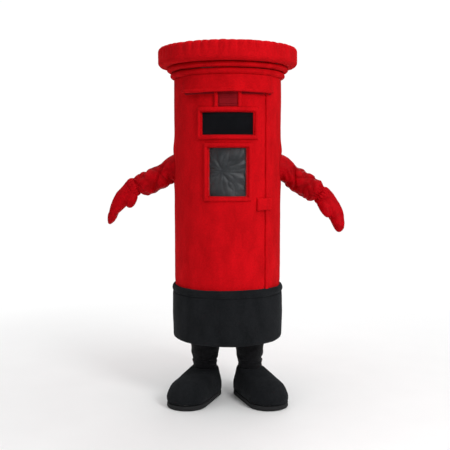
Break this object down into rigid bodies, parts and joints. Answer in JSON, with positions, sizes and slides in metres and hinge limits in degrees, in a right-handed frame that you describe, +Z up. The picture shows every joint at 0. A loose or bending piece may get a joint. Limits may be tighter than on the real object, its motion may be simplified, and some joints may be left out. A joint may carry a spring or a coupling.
{
  "type": "pillar box mascot costume",
  "caption": "Wearable pillar-box costume: a plush-covered foam barrel with cap, letter slot and window, on a shoulder harness, with sleeves, mittens, trousers and padded shoes.",
  "frame": {"origin": "on the barrel's vertical axis, at the level of the soles", "axes": "+Z up, the front with the letter slot faces -Y, +X towards the wearer's left"},
  "size_m": [1.3416, 0.778, 1.986],
  "materials": {
    "red_plush": "short-pile plush",
    "red_velour": "stretch velour with a soft sheen",
    "deep_red_felt": "brushed felt",
    "black_plush": "short-pile plush",
    "black_jersey": "knitted jersey",
    "foam_sheet": "closed-cell foam sheet",
    "vision_mesh": "fine woven mesh",
    "clear_film": "clear flexible film",
    "dark_lining": "crumpled satin lining",
    "webbing": "woven polypropylene webbing",
    "strap_padding": "foam strap in knitted cover",
    "elastic": "knitted elastic",
    "red_elastic": "gathered knitted elastic",
    "hoop_plastic": "extruded boning",
    "zip_tape": "woven tape",
    "zip_metal": "plated zip metal",
    "sole_rubber": "moulded rubber sheet"
  },
  "bodies": {
    "shell": {"foam_barrel": "foam_sheet", "barrel_cover": "red_plush", "base_band": "black_plush", "base_hem": "black_plush", "hem_hoop": "hoop_plastic", "waist_hoop": "hoop_plastic", "chest_hoop": "hoop_plastic", "cap_floor": "foam_sheet", "cap_wall": "foam_sheet", "cap_roof": "foam_sheet", "cap_rim_cover": "red_plush", "cap_top_cover": "red_plush", "cornice_upper": "red_plush", "cornice_lower": "red_plush", "hood_band": "red_plush", "tablet_bars": "red_plush", "tablet_plate": "deep_red_felt", "slot_frame": "red_plush", "vision_mesh": "vision_mesh", "window_frame": "red_plush", "window_film": "clear_film", "window_backing": "dark_lining", "door_edge_strip": "red_plush", "lock_block": "red_plush", "zip_tape": "zip_tape", "zip_teeth": "zip_metal", "harness_pad_right": "strap_padding", "harness_pad_left": "strap_padding", "harness_webbing": "webbing", "harness_anchors": "webbing", "trouser_braces": "webbing", "trouser_waistband": "elastic", "trouser_seat": "black_jersey", "armhole_ring_right": "red_velour", "armhole_ring_left": "red_velour"},
    "arm_right": {"sleeve_right": "red_velour", "sleeve_cuff_right": "red_elastic"},
    "hand_right": {"glove_cuff_right": "red_velour", "glove_right": "red_velour", "glove_thumb_right": "red_velour"},
    "leg_right": {"trouser_leg_right": "black_jersey", "ankle_cuff_right": "elastic"},
    "foot_right": {"shoe_upper_right": "black_plush", "shoe_sole_right": "sole_rubber", "shoe_insole_right": "foam_sheet"},
    "arm_left": {"sleeve_left": "red_velour", "sleeve_cuff_left": "red_elastic"},
    "hand_left": {"glove_cuff_left": "red_velour", "glove_left": "red_velour", "glove_thumb_left": "red_velour"},
    "leg_left": {"trouser_leg_left": "black_jersey", "ankle_cuff_left": "elastic"},
    "foot_left": {"shoe_upper_left": "black_plush", "shoe_sole_left": "sole_rubber", "shoe_insole_left": "foam_sheet"},
    "zip_slider": {"zip_slider": "zip_metal"},
    "zip_pull": {"zip_pull": "zip_metal"}
  },
  "joints": [
    {"name": "shoulder_right", "type": "hinge", "parent": "shell", "child": "arm_right", "pos_m": [-0.33, 0, 1.316], "axis": [0, 1, 0], "range_deg": [-22.5, 74.5]},
    {"name": "wrist_right", "type": "hinge", "parent": "arm_right", "child": "hand_right", "pos_m": [-0.51713, 0, 1.21013], "axis": [0, 1, 0], "range_deg": [-15, 30]},
    {"name": "shoulder_left", "type": "hinge", "parent": "shell", "child": "arm_left", "pos_m": [0.33, 0, 1.316], "axis": [0, -1, 0], "range_deg": [-14, 83]},
    {"name": "wrist_left", "type": "hinge", "parent": "arm_left", "child": "hand_left", "pos_m": [0.52464, 0, 1.16393], "axis": [0, -1, 0], "range_deg": [-15, 30]},
    {"name": "hip_right", "type": "hinge", "parent": "shell", "child": "leg_right", "pos_m": [-0.13, 0, 0.84], "axis": [-1, 0, 0], "range_deg": [-14, 14]},
    {"name": "ankle_right", "type": "hinge", "parent": "leg_right", "child": "foot_right", "pos_m": [-0.13, 0, 0.11], "axis": [-0.9063, 0.4226, 0], "range_deg": [-15, 15]},
    {"name": "hip_left", "type": "hinge", "parent": "shell", "child": "leg_left", "pos_m": [0.13, 0, 0.84], "axis": [-1, 0, 0], "range_deg": [-14, 14]},
    {"name": "ankle_left", "type": "hinge", "parent": "leg_left", "child": "foot_left", "pos_m": [0.13, 0, 0.11], "axis": [-0.9063, -0.4226, 0], "range_deg": [-15, 15]},
    {"name": "zip_slide", "type": "slide", "parent": "shell", "child": "zip_slider", "axis": [0, 0, -1], "range_m": [0, 0.98]},
    {"name": "zip_pull_swing", "type": "hinge", "parent": "zip_slider", "child": "zip_pull", "pos_m": [0, 0.31, 1.709], "axis": [1, 0, 0], "range_deg": [0, 165]}
  ]
}
